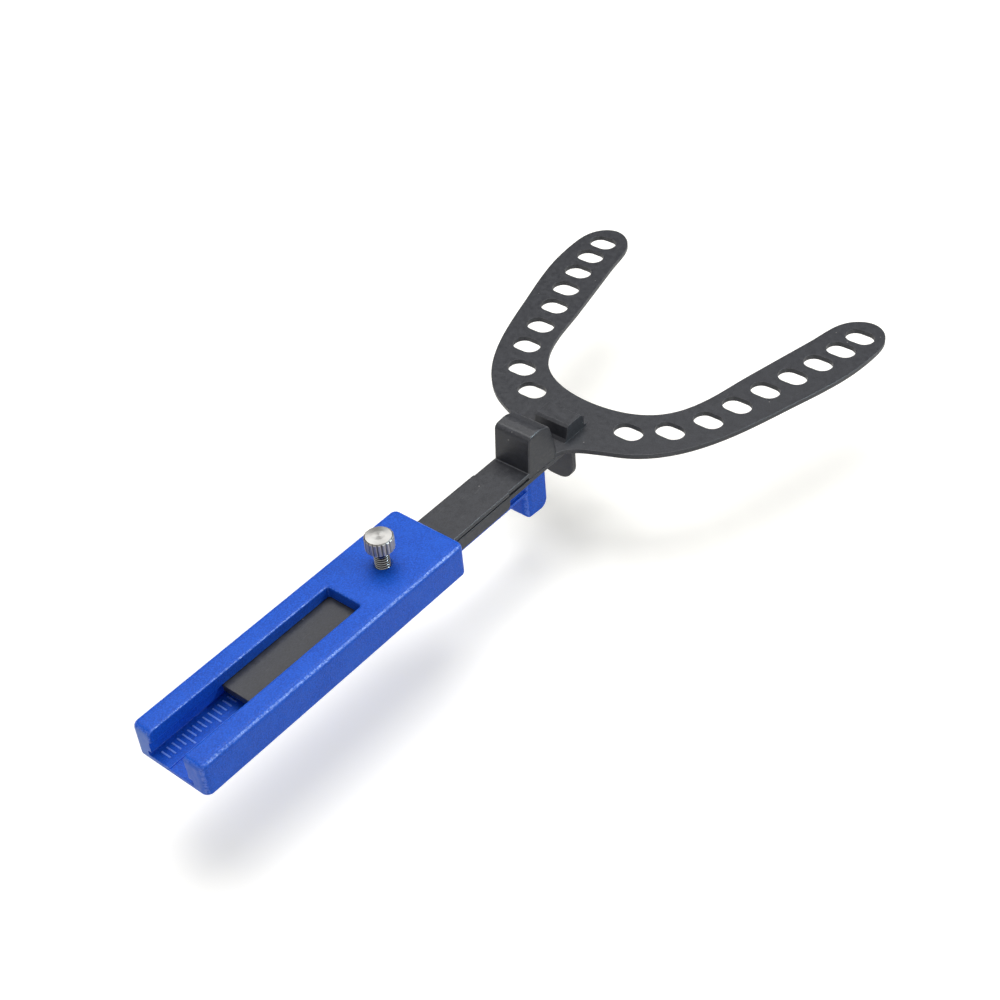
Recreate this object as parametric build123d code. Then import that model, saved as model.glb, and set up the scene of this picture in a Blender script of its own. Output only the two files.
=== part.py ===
from build123d import *
import os

# Bite-registration gauge: handle with a millimetre scale, a sliding bite fork,
# a sliding lower-incisor clamp and two knurled lock screws.
# Millimetres.  +Y runs along the handle towards the mouth, +X across, +Z up.
# Pieces are modelled in working stations: y from the rear end of the handle, z from
# its flat top.  to_part() then moves the origin to the middle of the floor of the
# upper-incisor notch.  "Front" is the mouth end; HW is a half width, R a radius.

NOTCH_Y = 85.0            # station of the notch centre
NOTCH_Z = -2.45           # height of the notch floor

# handle body
BODY_L = 56.0
BODY_W = 14.7
BODY_H = 6.4
BODY_TOP_R = 0.95         # rounding of the top edges
BODY_FOOT_R = 0.6         # rounding of the bottom edges
BODY_CORNER_R = 1.25      # rounding of the four upright corners
WINDOW_HW = 3.5           # between the lips
WINDOW_Y1 = 36.5          # front end of the window; it is open at the rear
WINDOW_CORNER_R = 0.45
RIM_R = 0.42              # rounding of the window's rim
FLOOR_Z = -5.4            # window floor
LIP_T = 2.1               # thickness of the lips and of the top wall
CHANNEL_HW = 3.95         # fork channel under the lips
CHANNEL_GAP = 0.07        # channel bottom below the fork
UNDERCUT_HW = 4.7         # relief along the floor corners
UNDERCUT_Z = -4.2

# scale on the window floor
SCALE_PAD_T = 0.2         # raised pad carrying the graduations
SCALE_PAD_X1 = -0.45      # edge of the pad nearest the middle
TICK_Y0 = 1.46            # first graduation
TICK_PITCH = 1.0
TICKS = 33
TICK_X = -3.7             # outer end of the graduations
TICK_SHORT = 1.9
TICK_LONG = 2.85          # every fifth graduation
TICK_W = 0.24
TICK_T = 0.08

# bite fork
STEM_Y0 = 14.0
STEM_HW = 3.85
STEM_STEP_Y = 71.3        # the last stretch before the stop is a little narrower
STEM_FRONT_HW = 3.65
STEM_TOP = -2.2
STEM_CORNER_R = 0.4
STEM_TOP_R = 0.12
STEM_EDGE_Z = -2.85       # the stem side is set back below this height
STEM_EDGE_IN = 0.3
FORK_BOT = -3.35          # stem and plate share one flat underside
PLATE_TOP = NOTCH_Z
PLATE_EDGE_R = 0.1
SLOT_L = 5.4
SLOT_W = 3.9
UPPER_STOP_Y0 = 76.4      # handle side of the upper-incisor stop
UPPER_STOP_Y1 = 83.79     # mouth side
UPPER_STOP_EDGE_R = 0.35
RIDGE_Y0 = 86.7           # lingual ridge
RIDGE_Y1 = 92.4
RIDGE_HW = 3.4
RIDGE_TOP = 0.5

# lower-incisor clamp
CLAMP_Y0 = 44.2           # rear end, inside the handle
CLAMP_WALL_Y1 = 71.3      # front end of the side walls
CLAMP_HW = 3.7
CLAMP_TOP = -3.42
CLAMP_T = 0.8
CLAMP_UNDER = CLAMP_TOP - CLAMP_T
CLAMP_BOT = -5.75         # foot of the side walls
CLAMP_WALL = 0.75
CLAMP_WALL_R = 0.9        # rounding at the lower front corner of each wall
CLAMP_REAR_R = 0.3
HOOK_Y = 87.65
HOOK_T = 1.0
HOOK_BOT = -11.6
HOOK_R = 3.0
HOOK_RISE = 4.0           # blank above the strip, cut off to lose its top rounding
WEB_SIZE = 0.9            # sloping web in the corner of strip and hook
CLAMP_CHANNEL_Y0 = 37.6   # rear end of the clamp's channel in the handle
CLAMP_SIDE_GAP = 0.1
CLAMP_FOOT_GAP = 0.08

# tongue and lower-incisor stop, in one piece with the handle
TONGUE_HW = 2.8
TONGUE_TOP = -4.3
FLANGE_HW = 3.35          # thin flange along the foot of the tongue
FLANGE_TOP = -5.87
LOWER_STOP_Y0 = 75.5
LOWER_STOP_Y1 = 80.87
LOWER_STOP_HW = 3.5
LOWER_STOP_BOT = -12.0    # foot on the mouth side
LOWER_STOP_REAR_BOT = -11.62
LOWER_STOP_EDGE_R = 0.4
LOWER_STOP_REAR_R = 1.4   # upright corners on the handle side
LOWER_STOP_FRONT_R = 0.4  # upright corners on the mouth side

# lock screws (M2.5, knurled heads)
FORK_SCREW_Y = 45.2
CLAMP_SCREW_Y = 50.2
THREAD_R = 2.5 / 2
THREAD_DEPTH = 0.26
THREAD_PITCH = 0.45
HOLE_R = THREAD_R + 0.03
SINK_R = THREAD_R + 0.35  # countersink at the face of the handle
SINK_DEPTH = 0.3
HEAD_R = 4.7 / 2
HEAD_H = 2.9
HEAD_GAP = 2.85           # head clear of the handle at the modelled setting
KNURLS = 20
KNURL_SIDE = 0.5          # square cutter, turned on its corner
KNURL_OUT = 0.13          # cutter centre outside the head's radius
TIP_GAP = 0.04            # screw tip off the piece it locks
SPIGOT_R = 0.9            # plain end of the stud inside the head
SPIGOT_L = 1.9
BORE_R = SPIGOT_R + 0.06
BORE_L = SPIGOT_L + 0.05

# Right half of the arch outline, (x, y): from the stop around the arm's tip
# and back along the inner side to the middle.
ARCH_OUTLINE = [
    (2.75, 81.7), (3.68, 83.2), (4.2, 84.45), (5.06, 85.49), (6.2, 86.4), (7.69, 87.18),
    (10.84, 88.54), (13.93, 89.94), (16.62, 91.78), (18.93, 94.03), (20.92, 96.6),
    (22.62, 99.42), (24.08, 102.4), (25.34, 105.49), (26.44, 108.6), (27.44, 111.72),
    (28.39, 114.85), (29.36, 118.0), (30.34, 121.15), (31.24, 124.32), (32.02, 127.5),
    (32.6, 130.75), (32.95, 134.02), (33.08, 137.3), (32.72, 140.5), (31.3, 143.05),
    (28.75, 144.4), (26.0, 143.7), (23.8, 141.45), (22.75, 138.6), (22.15, 135.5),
    (20.75, 129.3), (19.3, 123.1), (17.9, 116.95), (16.6, 110.75), (15.65, 107.65),
    (14.25, 104.6), (11.85, 101.6), (8.25, 99.35), (4.1, 98.15), (0.0, 97.8),
]

# Centres (x, y) of the slots in the right arm, from its tip to the middle.
SLOT_CENTRES = [
    (28.35, 139.6), (27.55, 134.45), (26.3, 128.95), (24.75, 123.15), (22.95, 117.3),
    (21.3, 111.1), (19.6, 104.95), (15.95, 99.0), (10.35, 94.85),
]

# Side outlines of the two incisor stops, (y, z, corner radius).
UPPER_STOP_PROFILE = [
    (UPPER_STOP_Y0, FORK_BOT, 0), (UPPER_STOP_Y0 + 0.64, 4.62, 1.1), (79.9, 4.86, 3.0),
    (82.45, 4.0, 1.7), (83.82, -1.2, 6.0), (UPPER_STOP_Y1 + 0.1, FORK_BOT, 0),
]
LOWER_STOP_PROFILE = [
    (LOWER_STOP_Y0, TONGUE_TOP, 0), (LOWER_STOP_Y0, LOWER_STOP_REAR_BOT, 1.2),
    (LOWER_STOP_Y1, LOWER_STOP_BOT, 1.7), (LOWER_STOP_Y1, TONGUE_TOP, 0),
]


# ------------------------------------------------------------------ helpers
# Cutters run a little past the faces they open.
def box(x0, x1, y0, y1, z0, z1):
    return Pos((x0 + x1) / 2, (y0 + y1) / 2, (z0 + z1) / 2) * Box(x1 - x0, y1 - y0, z1 - z0)


def side_box(side, inner, outer, y0, y1, z0, z1):
    """Box between two distances from the middle plane, on side -1 or +1."""
    x0, x1 = sorted((side * inner, side * outer))
    return box(x0, x1, y0, y1, z0, z1)


def pin(radius, z0, z1):
    return Pos(0, 0, (z0 + z1) / 2) * Cylinder(radius, z1 - z0)


def edges_at_height(edges, z):
    return [e for e in edges if abs(e.center().Z - z) < 1e-3]


def side_profile(points, half_width):
    """Prism centred on the middle plane from a closed (y, z) outline."""
    face = make_face(Polyline(*[(0, y, z) for y, z in points], close=True))
    return extrude(face, amount=half_width, dir=(1, 0, 0), both=True)


def rounded_profile(corners, half_width, edge_r, z_min):
    """Prism from a closed outline of (y, z, corner radius), its side edges above
    z_min rounded by edge_r."""
    face = make_face(Polyline(*[(-half_width, y, z) for y, z, _ in corners], close=True))
    for y, z, r in corners:
        if r:
            corner = [v for v in face.vertices()
                      if abs(v.Y - y) < 1e-3 and abs(v.Z - z) < 1e-3]
            face = fillet(corner, r)
    solid = extrude(face, amount=2 * half_width, dir=(1, 0, 0))
    return fillet([e for e in solid.edges()
                   if abs(e.center().X) > half_width - 0.01 and e.center().Z > z_min], edge_r)


def to_part(shape):
    return Pos(0, -NOTCH_Y, -NOTCH_Z) * shape


# ------------------------------------------------------------------ handle
def body_block():
    block = box(-BODY_W / 2, BODY_W / 2, 0, BODY_L, -BODY_H, 0)
    block = fillet(block.edges().filter_by(Axis.Z), BODY_CORNER_R)
    block = fillet(edges_at_height(block.edges(), 0), BODY_TOP_R)
    return fillet(edges_at_height(block.edges(), -BODY_H), BODY_FOOT_R)


def cut_channels(body):
    # window, open at the rear, with lips over the fork channel
    window = box(-WINDOW_HW, WINDOW_HW, -1, WINDOW_Y1, FLOOR_Z, 1)
    front_corners = [e for e in window.edges().filter_by(Axis.Z) if e.center().Y > 0]
    body -= fillet(front_corners, WINDOW_CORNER_R)
    body -= box(-CHANNEL_HW, CHANNEL_HW, -1, BODY_L + 1, FORK_BOT - CHANNEL_GAP, -LIP_T)
    body -= box(-CHANNEL_HW, CHANNEL_HW, -1, WINDOW_Y1, FLOOR_Z, -LIP_T - 0.001)
    body -= box(-UNDERCUT_HW, UNDERCUT_HW, -1, WINDOW_Y1, FLOOR_Z, UNDERCUT_Z)
    # clamp channel: top plate pocket and two slots for the side walls
    pocket_hw = CLAMP_HW + CLAMP_SIDE_GAP
    body -= box(-pocket_hw, pocket_hw, CLAMP_CHANNEL_Y0, BODY_L + 1, TONGUE_TOP, FORK_BOT)
    for side in (-1, 1):
        body -= side_box(side, CLAMP_HW - CLAMP_WALL - CLAMP_SIDE_GAP, pocket_hw,
                         CLAMP_CHANNEL_Y0, BODY_L + 1, CLAMP_BOT - CLAMP_FOOT_GAP, FORK_BOT)
    rim = [e for e in edges_at_height(body.edges(), 0)
           if abs(e.center().X) < WINDOW_HW + 0.01 and 1.0 < e.center().Y < WINDOW_Y1 + 0.01]
    return fillet(rim, RIM_R)


def add_scale(body):
    pad_top = FLOOR_Z + SCALE_PAD_T
    body += box(-UNDERCUT_HW - 0.2, SCALE_PAD_X1, 0.0, WINDOW_Y1 + 0.2, FLOOR_Z - 0.04, pad_top)
    for i in range(TICKS):
        y = TICK_Y0 + i * TICK_PITCH
        length = TICK_LONG if i % 5 == 4 else TICK_SHORT
        body += box(TICK_X, TICK_X + length, y - TICK_W / 2, y + TICK_W / 2,
                    pad_top - 0.1, pad_top + TICK_T)
    return body


def tongue():
    """Bar under the clamp; both ends run into their neighbours."""
    bar = box(-TONGUE_HW, TONGUE_HW, BODY_L - 2, LOWER_STOP_Y0 + 2, -BODY_H, TONGUE_TOP)
    bar += box(-FLANGE_HW, FLANGE_HW, BODY_L - 2, LOWER_STOP_Y0 + 1.5, -BODY_H, FLANGE_TOP)
    return bar


def lower_stop():
    stop = rounded_profile(LOWER_STOP_PROFILE, LOWER_STOP_HW, LOWER_STOP_EDGE_R, -20)
    # a column with rounded upright corners trims the stop
    column = box(-LOWER_STOP_HW, LOWER_STOP_HW, LOWER_STOP_Y0, LOWER_STOP_Y1,
                 LOWER_STOP_BOT - 1, LOWER_STOP_BOT + 11)
    column = fillet([e for e in column.edges().filter_by(Axis.Z)
                     if e.center().Y < LOWER_STOP_Y0 + 1], LOWER_STOP_REAR_R)
    column = fillet([e for e in column.edges().filter_by(Axis.Z)
                     if e.center().Y > LOWER_STOP_Y1 - 0.1], LOWER_STOP_FRONT_R)
    return stop & column


def cut_screw_holes(body):
    """Fork screw hole from the top, clamp screw hole from below, both countersunk."""
    upper = Pos(0, FORK_SCREW_Y, 0)
    body -= upper * pin(HOLE_R, -LIP_T - 0.5, 0.5)
    body -= upper * Pos(0, 0, -SINK_DEPTH / 2) * Cone(HOLE_R, SINK_R, SINK_DEPTH)
    lower = Pos(0, CLAMP_SCREW_Y, 0)
    body -= lower * pin(HOLE_R, -BODY_H - 0.3, TONGUE_TOP + 0.3)
    body -= lower * Pos(0, 0, -BODY_H + SINK_DEPTH / 2) * Cone(SINK_R, HOLE_R, SINK_DEPTH)
    return body


def handle_body():
    body = add_scale(cut_channels(body_block()))
    body = body + tongue() + lower_stop()
    return cut_screw_holes(body)


# ------------------------------------------------------------------ bite fork
def fork_plate():
    # one smooth curve, the left half mirrored from the right, closed by a line
    loop = ARCH_OUTLINE + [(-x, y) for x, y in reversed(ARCH_OUTLINE[:-1])]
    outline = make_face(Curve() + [Spline(*loop), Line(loop[-1], loop[0])])
    plate = extrude(Pos(0, 0, FORK_BOT) * outline, amount=PLATE_TOP - FORK_BOT)
    # only the curved rims are this long
    plate = fillet([e for e in plate.edges() if e.length > 20], PLATE_EDGE_R)
    for x, y in SLOT_CENTRES:
        for side in (-1, 1):
            centre = Pos(side * x, y, FORK_BOT - 0.5)
            plate -= extrude(centre * SlotOverall(SLOT_L, SLOT_W), amount=2.5)
    return plate


def fork_stem():
    """Flat bar with the lower part of its sides set back."""
    stem = box(-STEM_HW, STEM_HW, STEM_Y0, STEM_STEP_Y, FORK_BOT, STEM_TOP)
    stem = fillet(stem.edges().filter_by(Axis.Z), STEM_CORNER_R)
    stem = fillet(edges_at_height(stem.edges(), STEM_TOP), STEM_TOP_R)
    front = box(-STEM_FRONT_HW, STEM_FRONT_HW, STEM_STEP_Y - 1, UPPER_STOP_Y0 + 1,
                FORK_BOT, STEM_TOP)
    front = fillet(edges_at_height(front.edges().filter_by(Axis.Y), STEM_TOP), STEM_TOP_R)
    stem = stem + front
    stretches = ((STEM_HW, STEM_Y0 - 1, STEM_STEP_Y),
                 (STEM_FRONT_HW, STEM_STEP_Y - 0.01, UPPER_STOP_Y0))
    for side in (-1, 1):
        for half_width, y0, y1 in stretches:
            stem -= side_box(side, half_width - STEM_EDGE_IN, half_width + 1, y0, y1,
                             FORK_BOT - 0.5, STEM_EDGE_Z)
    return stem


def lingual_ridge():
    """Ridge with a chamfered top and a low step along its mouth side."""
    foot_y = RIDGE_Y0 - 0.4
    step_y = RIDGE_Y1 - 0.7
    step_z = PLATE_TOP + 0.5
    return side_profile([
        (foot_y, FORK_BOT), (foot_y, PLATE_TOP), (RIDGE_Y0 + 0.1, PLATE_TOP + 0.6),
        (RIDGE_Y0 + 0.6, RIDGE_TOP - 0.35), (RIDGE_Y0 + 1.1, RIDGE_TOP),
        (RIDGE_Y1 - 1.4, RIDGE_TOP), (step_y, RIDGE_TOP - 0.7), (step_y, step_z),
        (RIDGE_Y1, step_z), (RIDGE_Y1, FORK_BOT)], RIDGE_HW)


def bite_fork():
    upper_stop = rounded_profile(UPPER_STOP_PROFILE, STEM_FRONT_HW, UPPER_STOP_EDGE_R,
                                 FORK_BOT + 0.05)
    return fork_stem().fuse(upper_stop).fuse(lingual_ridge()).fuse(fork_plate())


# ------------------------------------------------------------------ clamp
def clamp_wall(side):
    wall = side_box(side, CLAMP_HW - CLAMP_WALL, CLAMP_HW, CLAMP_Y0, CLAMP_WALL_Y1,
                    CLAMP_BOT, CLAMP_TOP)
    return fillet([e for e in wall.edges().filter_by(Axis.X)
                   if e.center().Y > CLAMP_WALL_Y1 - 0.1
                   and e.center().Z < CLAMP_BOT + 0.1], CLAMP_WALL_R)


def clamp_hook():
    """Upright plate with rounded lower corners, cut flush with the strip."""
    blank_top = CLAMP_TOP + HOOK_RISE
    # this plane's y axis points down
    plane = Plane(origin=(0, HOOK_Y, 0), x_dir=(1, 0, 0), z_dir=(0, 1, 0))
    outline = RectangleRounded(2 * CLAMP_HW, blank_top - HOOK_BOT, HOOK_R)
    hook = extrude(plane * Pos(0, -(blank_top + HOOK_BOT) / 2) * outline, amount=HOOK_T)
    return hook - box(-10, 10, HOOK_Y - 1, HOOK_Y + 5, CLAMP_TOP, 10)


def clamp_web():
    """Sloping web under the strip, on the handle side of the hook."""
    rear_y = HOOK_Y - WEB_SIZE
    inside_y = HOOK_Y + 0.3
    top_z = CLAMP_UNDER + 0.1
    foot_z = CLAMP_UNDER - WEB_SIZE
    return side_profile([(rear_y, top_z), (rear_y, CLAMP_UNDER), (HOOK_Y, foot_z),
                         (inside_y, foot_z), (inside_y, top_z)], CLAMP_HW)


def incisor_clamp():
    clamp = box(-CLAMP_HW, CLAMP_HW, CLAMP_Y0, HOOK_Y + HOOK_T, CLAMP_UNDER, CLAMP_TOP)
    for side in (-1, 1):
        clamp += clamp_wall(side)
    clamp += clamp_hook()
    clamp += clamp_web()
    return fillet([e for e in clamp.edges().filter_by(Axis.Z)
                   if e.center().Y < CLAMP_Y0 + 0.1], CLAMP_REAR_R)


# ------------------------------------------------------------------ lock screws
def lock_stud(reach):
    """Threaded stud standing on z = 0 = face of the handle; it runs down to -reach."""
    root_r = THREAD_R - THREAD_DEPTH
    flank = THREAD_PITCH / 2
    stud = pin(root_r, -reach, HEAD_GAP)
    # the thread is a stack of separate rings, each a pair of cones
    for i in range(int((HEAD_GAP + reach - 0.3) / THREAD_PITCH)):
        z = HEAD_GAP - 0.12 - (i + 0.5) * THREAD_PITCH
        stud += Pos(0, 0, z + flank / 2) * Cone(THREAD_R, root_r, flank)
        stud += Pos(0, 0, z - flank / 2) * Cone(root_r, THREAD_R, flank)
    stud += pin(SPIGOT_R, HEAD_GAP - 0.4, HEAD_GAP + SPIGOT_L)
    return stud


def lock_head():
    """Knurled head with a blind bore over the stud's spigot."""
    top = HEAD_GAP + HEAD_H
    head = revolve(make_face(Polyline(
        (0, 0, HEAD_GAP), (HEAD_R - 0.6, 0, HEAD_GAP), (HEAD_R, 0, HEAD_GAP + 0.55),
        (HEAD_R, 0, top - 0.28), (HEAD_R - 0.28, 0, top - 0.06),
        (1.0, 0, top), (0, 0, top), close=True)), Axis.Z)
    for i in range(KNURLS):
        place = Rot(0, 0, 360 / KNURLS * i) * Pos(HEAD_R + KNURL_OUT, 0, HEAD_GAP + HEAD_H / 2)
        head -= place * Rot(0, 0, 45) * Box(KNURL_SIDE, KNURL_SIDE, HEAD_H + 1)
    head -= pin(BORE_R, HEAD_GAP - 1, HEAD_GAP + BORE_L)
    return head


def main():
    os.makedirs("parts", exist_ok=True)
    on_top = Pos(0, FORK_SCREW_Y, 0)
    underneath = Pos(0, CLAMP_SCREW_Y, -BODY_H) * Rot(180, 0, 0)
    pieces = {
        "handle_body": handle_body(),
        "bite_fork": bite_fork(),
        "incisor_clamp": incisor_clamp(),
        "fork_lock_stud": on_top * lock_stud(-STEM_TOP - TIP_GAP),
        "fork_lock_knob": on_top * lock_head(),
        "clamp_lock_stud": underneath * lock_stud(BODY_H + CLAMP_UNDER - TIP_GAP),
        "clamp_lock_knob": underneath * lock_head(),
    }
    for name, shape in pieces.items():
        solids = to_part(shape).solids()
        export_step(solids[0] if len(solids) == 1 else Compound(solids), f"parts/{name}.step")


main()
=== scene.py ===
# Bite-registration instrument: blue handle with two rails and a raised scale, black bite
# fork and incisor clamp, and two lock screws with knurled heads on vertical (Z) axes.
# It slides along Y, the rails end at -Y, and +Z is up. The CAD shapes are used unchanged.
import bpy
from mathutils import Matrix, Vector


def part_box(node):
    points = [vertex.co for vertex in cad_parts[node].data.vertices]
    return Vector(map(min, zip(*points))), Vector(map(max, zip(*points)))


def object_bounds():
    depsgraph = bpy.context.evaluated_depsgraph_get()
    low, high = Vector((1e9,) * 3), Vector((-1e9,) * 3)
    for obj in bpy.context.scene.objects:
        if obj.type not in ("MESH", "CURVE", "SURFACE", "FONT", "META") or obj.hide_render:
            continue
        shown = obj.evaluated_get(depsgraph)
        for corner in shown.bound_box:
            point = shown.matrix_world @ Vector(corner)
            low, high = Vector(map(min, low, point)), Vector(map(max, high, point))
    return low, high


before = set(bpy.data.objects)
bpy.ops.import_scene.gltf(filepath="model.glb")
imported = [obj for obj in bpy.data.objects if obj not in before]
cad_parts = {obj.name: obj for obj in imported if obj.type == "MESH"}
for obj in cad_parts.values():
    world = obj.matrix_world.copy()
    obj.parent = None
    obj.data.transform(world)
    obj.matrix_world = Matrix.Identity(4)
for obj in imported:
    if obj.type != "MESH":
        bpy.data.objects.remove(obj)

MM = 0.001
CAD_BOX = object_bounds()

# Features the materials follow, in mm
RAIL_END_Y = -84.0            # end faces lie beyond this, towards -Y
RAIL_X = (-7.0, -1.0)         # across the rails, -X side first
STEP_X, STEP_Z = -0.45, -2.95         # foot of the scale pad
STEP_HALF_X, STEP_HALF_Z = 0.06, 0.30
MARK_Z = (-2.735, -2.60)      # tops of the graduations
MARK_HALF_X = 3.75
MARK_END_Y = -50.8
STOP_FOOT_YZ = (-8.51, 0.25)  # foot of the upper-incisor stop on the fork
STOP_HALF_X = 3.6
KNURL_RADII = (2.26, 2.12)    # groove shading starts, is full
THREAD_RADII = (1.25, 1.12)   # root shading starts, is full

FLOOR_GAP = 10.0 * MM         # the instrument is held clear of the table
FLOOR_HALF = 3.0              # m


# --------------------------------------------------------------- node helpers
class Nodes:
    """Builds nodes in a tree. An input takes a value or another node's output."""

    def __init__(self, tree):
        self.tree = tree

    def put(self, socket, value):
        if isinstance(value, bpy.types.NodeSocket):
            self.tree.links.new(value, socket)
        else:
            socket.default_value = value

    def node(self, kind, inputs=None, **settings):
        made = self.tree.nodes.new("ShaderNode" + kind)
        for key, value in settings.items():
            setattr(made, key, value)
        for key, value in (inputs or {}).items():
            self.put(made.inputs[key], value)
        return made

    def math(self, operation, first, second=0.0):
        return self.node("Math", {0: first, 1: second, 2: 0.0}, operation=operation).outputs[0]

    def add(self, first, second):
        return self.math("ADD", first, second)

    def mul(self, first, *others):
        for other in others:
            first = self.math("MULTIPLY", first, other)
        return first

    def flip(self, value):
        return self.math("SUBTRACT", 1.0, value)

    def below(self, value, limit):
        return self.math("LESS_THAN", value, limit)

    def within(self, value, half):
        """1 where value lies less than half away from zero."""
        return self.below(self.math("ABSOLUTE", value), half)

    def length(self, first, second):
        return self.math("SQRT", self.add(self.mul(first, first), self.mul(second, second)))

    def dot(self, first, second):
        made = self.node("VectorMath", {0: first, 1: second}, operation="DOT_PRODUCT")
        return made.outputs["Value"]

    def ramp(self, value, span, to=(0.0, 1.0), smooth=True):
        """Carries value from span onto to; a falling span turns the ramp round."""
        return self.node("MapRange", {
            "Value": value, "From Min": span[0], "From Max": span[1],
            "To Min": to[0], "To Max": to[1],
        }, interpolation_type="SMOOTHSTEP" if smooth else "LINEAR").outputs["Result"]


class Material(Nodes):
    """A new material round one Principled shader. Lengths are in millimetres."""

    def __init__(self, name):
        self.material = bpy.data.materials.new(name)
        self.material.use_nodes = True
        super().__init__(self.material.node_tree)
        self.tree.nodes.clear()
        output = self.node("OutputMaterial")
        self.bsdf = self.node("BsdfPrincipled")
        self.put(output.inputs["Surface"], self.bsdf.outputs["BSDF"])
        self.coord = self.node("TexCoord")

    def set(self, **inputs):
        for key, value in inputs.items():
            self.put(self.bsdf.inputs[key.replace("_", " ")], value)

    def mm(self, scale=(1, 1, 1), shift=(0, 0, 0)):
        """Object coordinates in mm from the point shift, multiplied by scale."""
        return self.node("Mapping", {
            "Scale": [1000 * s for s in scale],
            "Location": [-a * s for a, s in zip(shift, scale)],
            "Vector": self.coord.outputs["Object"],
        }).outputs["Vector"]

    def split(self, vector):
        return self.node("SeparateXYZ", {0: vector}).outputs

    def axis_radius(self, axis_xy):
        """Distance from a vertical axis."""
        x, y, _ = self.split(self.mm(shift=(*axis_xy, 0)))
        return self.length(x, y)

    def normal(self):
        return self.node("NewGeometry").outputs["Normal"]

    def noise(self, vector, scale, detail=2.0, rough=0.5, distort=0.0):
        return self.node("TexNoise", {
            "Vector": vector, "Scale": scale, "Detail": detail,
            "Roughness": rough, "Distortion": distort,
        }).outputs["Fac"]

    def patches(self, vector, span, to=(0.0, 1.0), **noise):
        return self.ramp(self.noise(vector, **noise), span, to)

    def cells(self, vector, scale):
        """Distance to the nearest of a scatter of points."""
        return self.node("TexVoronoi", {"Vector": vector, "Scale": scale}).outputs["Distance"]

    def mix(self, mask, under, over):
        made = self.node("Mix", {0: mask}, data_type="RGBA")
        sockets = [s for s in made.inputs if s.type == "RGBA"]
        for socket, colour in zip(sockets, (under, over)):
            fixed = isinstance(colour, tuple)
            self.put(socket, (*colour, 1.0) if fixed else colour)
        return [s for s in made.outputs if s.type == "RGBA"][0]

    def tint(self, base, mask, amount, colour):
        """Lays colour over base where mask is 1, by amount."""
        return self.mix(self.mul(mask, amount), base, colour)

    def bump(self, height, distance, strength, normal=None):
        inputs = {"Strength": strength, "Distance": distance * MM, "Height": height}
        if normal is not None:
            inputs["Normal"] = normal
        return self.node("Bump", inputs).outputs["Normal"]

    def bevel(self, radius, samples=6):
        return self.node("Bevel", {"Radius": radius * MM}, samples=samples).outputs["Normal"]

    def edges(self, radius):
        """1 on the edges of the shape, 0 on its flats."""
        turn = self.dot(self.bevel(radius, samples=4), self.normal())
        return self.ramp(turn, span=(0.90, 0.995), to=(1.0, 0.0))

    def corners(self, span):
        """1 where the surface turns between two flats, 0 on faces square to the axes."""
        x, y, z = [self.math("ABSOLUTE", part) for part in self.split(self.normal())]
        return self.ramp(self.math("MAXIMUM", self.math("MAXIMUM", x, y), z), span)


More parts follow.
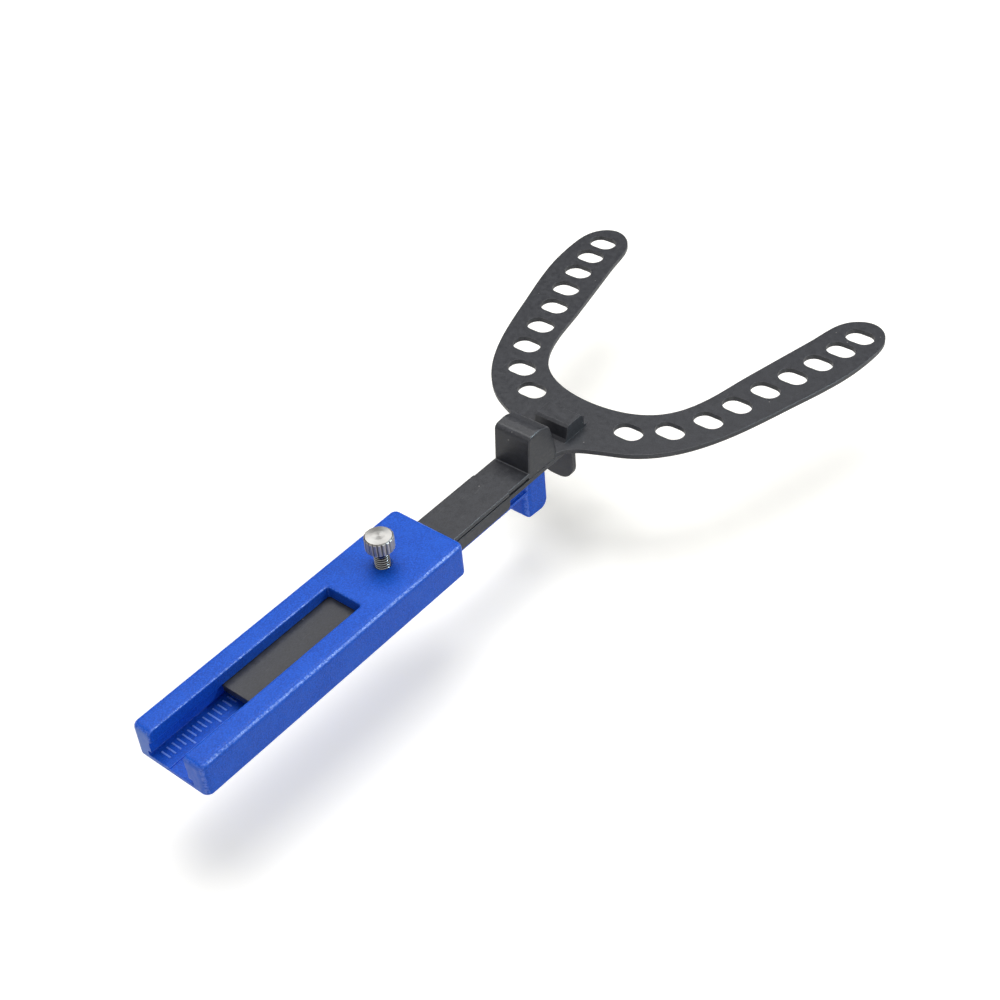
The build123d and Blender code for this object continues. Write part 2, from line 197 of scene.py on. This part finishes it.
# ------------------------------------------------------------------ materials
def blue_plastic():
    """Spark-textured blue moulding: sparkling grain, polished edges painted lighter (painted
    highlight), pale graduations.
    """
    mat = Material("blue_moulding")
    pos = mat.mm()
    fine = mat.noise(pos, scale=4.2, detail=3.0, rough=0.6)
    speck = mat.cells(pos, scale=3.6)
    blotch = mat.patches(pos, scale=0.22, detail=3.0, rough=0.55, span=(0.42, 0.72))
    base = mat.mix(mat.ramp(fine, span=(0.32, 0.70)),
                   under=(0.0040, 0.066, 0.46), over=(0.011, 0.120, 0.73))
    base = mat.tint(base, blotch, amount=0.35, colour=(0.013, 0.125, 0.72))

    # bright pinpoints of the grain
    pin = mat.mul(mat.ramp(speck, span=(0.16, 0.07)),
                  mat.patches(pos, scale=1.3, detail=1.0, span=(0.50, 0.62)))
    base = mat.tint(base, pin, amount=0.30, colour=(0.10, 0.27, 0.90))

    # rubbed edges, also painted lighter as a painted edge highlight
    edge = mat.math("MAXIMUM", mat.edges(radius=0.20), mat.corners(span=(0.965, 0.80)))
    rub_and_edge_highlight = mat.mul(edge, mat.patches(pos, scale=2.6, detail=3.0, rough=0.65,
                                    span=(0.36, 0.64), to=(0.25, 1.0)))
    base = mat.tint(base, rub_and_edge_highlight, amount=0.50, colour=(0.032, 0.190, 0.95))

    # end faces of the two rails, painted paler as a painted reflection of the floor, more so
    # towards -X
    x, y, z = mat.split(mat.mm())
    faces_end = mat.mul(mat.split(mat.normal())[1], -1.0)
    end = mat.mul(mat.ramp(faces_end, span=(0.72, 0.96)), mat.below(y, RAIL_END_Y))
    painted_end_reflection = mat.mix(mat.ramp(x, span=RAIL_X, smooth=False),
                   under=(0.150, 0.275, 0.74), over=(0.055, 0.165, 0.74))
    base = mat.tint(base, end, amount=0.95, colour=painted_end_reflection)

    # foot of the scale pad, where the step catches the light
    step = mat.mul(mat.within(mat.add(x, -STEP_X), STEP_HALF_X),
                   mat.within(mat.add(z, -STEP_Z), STEP_HALF_Z))
    base = mat.tint(base, step, amount=0.8, colour=(0.035, 0.20, 1.0))

    # tops of the graduations, coloured paler
    marks = mat.mul(mat.math("GREATER_THAN", z, MARK_Z[0]), mat.below(z, MARK_Z[1]),
                    mat.within(x, MARK_HALF_X), mat.below(y, MARK_END_Y))
    base = mat.tint(base, marks, amount=mat.ramp(fine, span=(0.25, 0.6), to=(0.65, 1.0)),
                    colour=(0.20, 0.38, 1.0))

    # the grain stands higher on the edges, which are also smoother
    grain = mat.mul(mat.add(mat.mul(fine, 0.7), mat.mul(speck, -0.5)),
                    mat.ramp(edge, span=(0.0, 1.0), to=(1.0, 2.2)))
    rough = mat.patches(pos, scale=1.7, detail=3.0, rough=0.6, span=(0.3, 0.7), to=(0.36, 0.52))
    mat.set(Base_Color=base, IOR=1.50,
            Roughness=mat.math("SUBTRACT", rough, mat.mul(rub_and_edge_highlight, 0.08)),
            Specular_IOR_Level=mat.ramp(rub_and_edge_highlight, span=(0.2, 0.8), to=(0.24, 0.95)),
            Normal=mat.bump(grain, distance=0.045, strength=0.75, normal=mat.bevel(radius=0.10)))
    return mat.material


def black_plastic(name, foot_yz=None):
    """Black glass-filled moulding: fine grain drawn out along Y, scuffs, edges greyed as a
    painted highlight.
    """
    mat = Material(name)
    drawn = mat.mm(scale=(1.0, 0.30, 1.0))
    pos = mat.mm()
    dark, light = (0.020, 0.021, 0.026), (0.037, 0.039, 0.048)
    fine = mat.noise(drawn, scale=7.5, detail=4.0, rough=0.65)
    cloud = mat.noise(pos, scale=1.1, detail=4.0, rough=0.6)
    base = mat.mix(mat.ramp(fine, span=(0.35, 0.68)), under=dark, over=light)
    base = mat.tint(base, mat.ramp(cloud, span=(0.40, 0.75)), amount=0.35,
                    colour=tuple(c * 1.35 for c in light))

    # scuffs: thin, and long in Y
    scuff = mat.mul(mat.patches(mat.mm(scale=(3.2, 0.10, 3.2)), scale=1.9, distort=0.35,
                                span=(0.655, 0.70)),
                    mat.patches(pos, scale=0.35, span=(0.50, 0.66)))
    base = mat.tint(base, scuff, amount=0.40, colour=(0.13, 0.13, 0.135))

    # greyed edges: a painted edge highlight
    edge = mat.math("MAXIMUM", mat.edges(radius=0.16),
                    mat.mul(mat.corners(span=(0.90, 0.74)), 0.45))
    edge = mat.mul(edge, mat.patches(pos, scale=2.8, span=(0.30, 0.65), to=(0.30, 1.0)))
    base = mat.tint(base, edge, amount=0.55, colour=(0.135, 0.135, 0.145))

    if foot_yz:
        # painted highlight line along the foot of the upper-incisor stop
        x, y, z = mat.split(mat.mm(shift=(0, *foot_yz)))
        painted_foot_highlight = mat.mul(mat.ramp(mat.length(y, z), span=(0.24, 0.06)),
                       mat.within(x, STOP_HALF_X))
        base = mat.tint(base, painted_foot_highlight, amount=0.65, colour=(0.17, 0.175, 0.19))

    dust = mat.ramp(mat.cells(pos, scale=0.33), span=(0.055, 0.03))
    base = mat.tint(base, dust, amount=0.5, colour=(0.35, 0.34, 0.33))

    rough = mat.ramp(cloud, span=(0.3, 0.7), to=(0.34, 0.50))
    height = mat.add(fine, mat.mul(mat.noise(pos, scale=14.0, rough=0.6), 0.5))
    mat.set(Base_Color=base, Roughness=mat.add(rough, mat.mul(scuff, 0.12)),
            IOR=1.52, Specular_IOR_Level=0.50,
            Normal=mat.bump(height, distance=0.016, strength=0.5, normal=mat.bevel(radius=0.10)))
    return mat.material


def turned_metal(name, axis_xy):
    """Turned and knurled head: rings on the faces, satin flanks, painted shade in the grooves.
    """
    mat = Material(name)
    pos = mat.mm()
    radius = mat.axis_radius(axis_xy)
    wobble = mat.mul(mat.noise(pos, scale=1.5), 0.10)
    rings = mat.math("SINE", mat.mul(mat.add(radius, wobble), 46.0))  # radians per mm
    grit = mat.noise(pos, scale=9.0)
    # 1 on the faces square to Z, 0 on the flanks
    flat = mat.ramp(mat.math("ABSOLUTE", mat.dot(mat.normal(), (0, 0, 1))), span=(0.80, 0.97))
    height = mat.add(mat.mul(rings, mat.mul(flat, 0.20)), mat.mul(grit, 0.10))

    # painted shade: the colour darkens between the knurls
    painted_groove_shade = mat.mul(mat.ramp(radius, span=KNURL_RADII), mat.flip(flat))
    # painted shade: faces square to Z get a darker colour than the flanks, toning down the light
    # they catch
    base = mat.mix(mat.flip(flat), under=(0.46, 0.452, 0.437), over=(0.50, 0.47, 0.44))
    base = mat.tint(base, painted_groove_shade, amount=0.85, colour=(0.17, 0.155, 0.14))
    base = mat.mix(mat.patches(pos, scale=1.1, detail=3.0, span=(0.45, 0.8), to=(0.0, 0.25)),
                   under=base, over=(0.42, 0.40, 0.37))

    rough = mat.patches(pos, scale=3.0, detail=3.0, span=(0.3, 0.7), to=(0.40, 0.46))
    rough = mat.add(rough, mat.mul(mat.flip(flat), 0.08))
    tangent = mat.node("Tangent", direction_type="RADIAL", axis="Z")
    mat.set(Base_Color=base, Metallic=1.0, Roughness=rough, Anisotropic=mat.mul(flat, 0.50),
            Tangent=tangent.outputs["Tangent"],
            Normal=mat.bump(height, distance=0.0012, strength=0.30))
    return mat.material


def bright_metal(name, axis_xy):
    """Plated thread: near-mirror flanks, faint streaks and shaded roots."""
    mat = Material(name)
    pos = mat.mm()
    radius = mat.axis_radius(axis_xy)
    streak = mat.noise(mat.mm(scale=(1, 1, 6)), scale=3.2, detail=3.0, rough=0.6)
    base = mat.mix(mat.ramp(streak, span=(0.35, 0.75)),
                   under=(0.84, 0.85, 0.88), over=(0.62, 0.62, 0.63))
    base = mat.mix(mat.ramp(radius, span=THREAD_RADII), under=base, over=(0.045, 0.046, 0.05))
    mat.set(Base_Color=base, Metallic=1.0,
            Roughness=mat.patches(pos, scale=4.0, span=(0.3, 0.7), to=(0.06, 0.16)),
            Normal=mat.bump(streak, distance=0.003, strength=0.5))
    return mat.material


def floor_material():
    """Pale table lit from below, as a light table is, so its shadows stay pale."""
    mat = Material("pale_floor")
    pos = mat.mm()
    base = mat.mix(mat.noise(pos, scale=0.02, detail=3.0),
                   under=(0.80, 0.795, 0.775), over=(0.82, 0.815, 0.795))
    rough = mat.patches(pos, scale=0.4, detail=3.0, span=(0.3, 0.7), to=(0.62, 0.72))
    # the glow shows to the camera, and weakly in reflections
    ray = mat.node("LightPath").outputs
    seen = mat.math("MAXIMUM", ray["Is Camera Ray"], mat.mul(ray["Is Glossy Ray"], 0.3))
    mat.set(Base_Color=base, Roughness=rough, Specular_IOR_Level=0.25,
            Emission_Color=(0.985, 0.978, 0.925, 1.0), Emission_Strength=mat.mul(seen, 0.42))
    return mat.material


def paint(part, material):
    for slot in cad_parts[part].material_slots:
        slot.link = "OBJECT"
        slot.material = material


def box_axis(part):
    """XY of the vertical axis through the middle of a part, in mm."""
    low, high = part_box(part)
    return tuple((a + b) / 2 * 1000 for a, b in zip(low[:2], high[:2]))


paint("handle_body", blue_plastic())
paint("bite_fork", black_plastic("black_fork", foot_yz=STOP_FOOT_YZ))
paint("incisor_clamp", black_plastic("black_clamp"))
LOCKS = [(owner, level, box_axis(f"{owner}_lock_knob"))
         for owner, level in (("fork", "top"), ("clamp", "low"))]
for owner, level, axis in LOCKS:
    paint(f"{owner}_lock_knob", turned_metal(f"turned_head_{level}", axis))
for owner, level, axis in LOCKS:
    paint(f"{owner}_lock_stud", bright_metal(f"plated_thread_{level}", axis))


# ---------------------------------------------------------------------- stage
def place(name, data):
    made = bpy.data.objects.new(name, data)
    bpy.context.scene.collection.objects.link(made)
    return made


def floor():
    material = floor_material()
    z = CAD_BOX[0].z - FLOOR_GAP
    half = FLOOR_HALF
    mesh = bpy.data.meshes.new("floor")
    mesh.from_pydata([(-half, -half, z), (half, -half, z), (half, half, z), (-half, half, z)],
                     [], [(0, 1, 2, 3)])
    mesh.materials.append(material)
    place("floor", mesh)


def softbox(name, where, size, watts, colour=(1, 1, 1)):
    """Rectangular lamp aimed at the middle of the instrument, hidden from the camera."""
    light = bpy.data.lights.new(name, "AREA")
    light.shape = "RECTANGLE"
    light.size, light.size_y = size
    light.energy = watts
    light.color = colour
    lamp = place(name, light)
    lamp.location = where
    aim = (CAD_BOX[0] + CAD_BOX[1]) / 2 - Vector(where)
    lamp.rotation_euler = aim.to_track_quat("-Z", "Y").to_euler()
    lamp.visible_camera = False
    return lamp


def surroundings():
    """Even pale world, darker towards -X, +Y and up."""
    world = bpy.data.worlds.new("studio")
    bpy.context.scene.world = world
    world.use_nodes = True
    nodes = Nodes(world.node_tree)
    background = world.node_tree.nodes["Background"].inputs
    background["Color"].default_value = (1.0, 0.997, 0.99, 1)
    toward_dark = nodes.dot(nodes.node("TexCoord").outputs["Generated"],
                            Vector((-0.50, 0.62, 0.60)).normalized())
    nodes.put(background["Strength"],
              nodes.ramp(toward_dark, span=(0.45, 0.90), to=(0.42, 0.12)))


def camera():
    """View from above, on the +X, -Y side."""
    data = bpy.data.cameras.new("camera")
    data.sensor_width = 36.0
    data.lens = 60.578
    data.clip_start, data.clip_end = 0.01, 10.0
    position = (0.143621715, -0.166697858, 0.177209551)
    # columns: the camera's right, up and backward directions
    turn = Matrix((
        (0.771171505, -0.373308929, 0.515688815),
        (0.632623154, 0.540068992, -0.555079660),
        (-0.071291345, 0.754298301, 0.652649689)))
    made = place("camera", data)
    made.matrix_world = Matrix.Translation(position) @ turn.to_4x4()
    bpy.context.scene.camera = made


floor()
softbox("key_overhead", where=(-0.29, 0.28, 1.20), size=(0.90, 0.90), watts=13.0,
        colour=(1.0, 0.995, 0.985))
softbox("side_right", where=(0.42, 0.30, 0.34), size=(0.07, 0.10), watts=0.8)
glint = softbox("edge_glint", where=(0.44, 0.28, 0.36), size=(0.16, 0.16), watts=2.6,
                colour=(0.60, 0.86, 1.0))
glint.visible_diffuse = False         # only picks out the rounded edges
surroundings()
camera()
bpy.context.scene.view_settings.view_transform = "Standard"
bpy.context.scene.view_settings.look = "None"

bpy.context.view_layer.update()
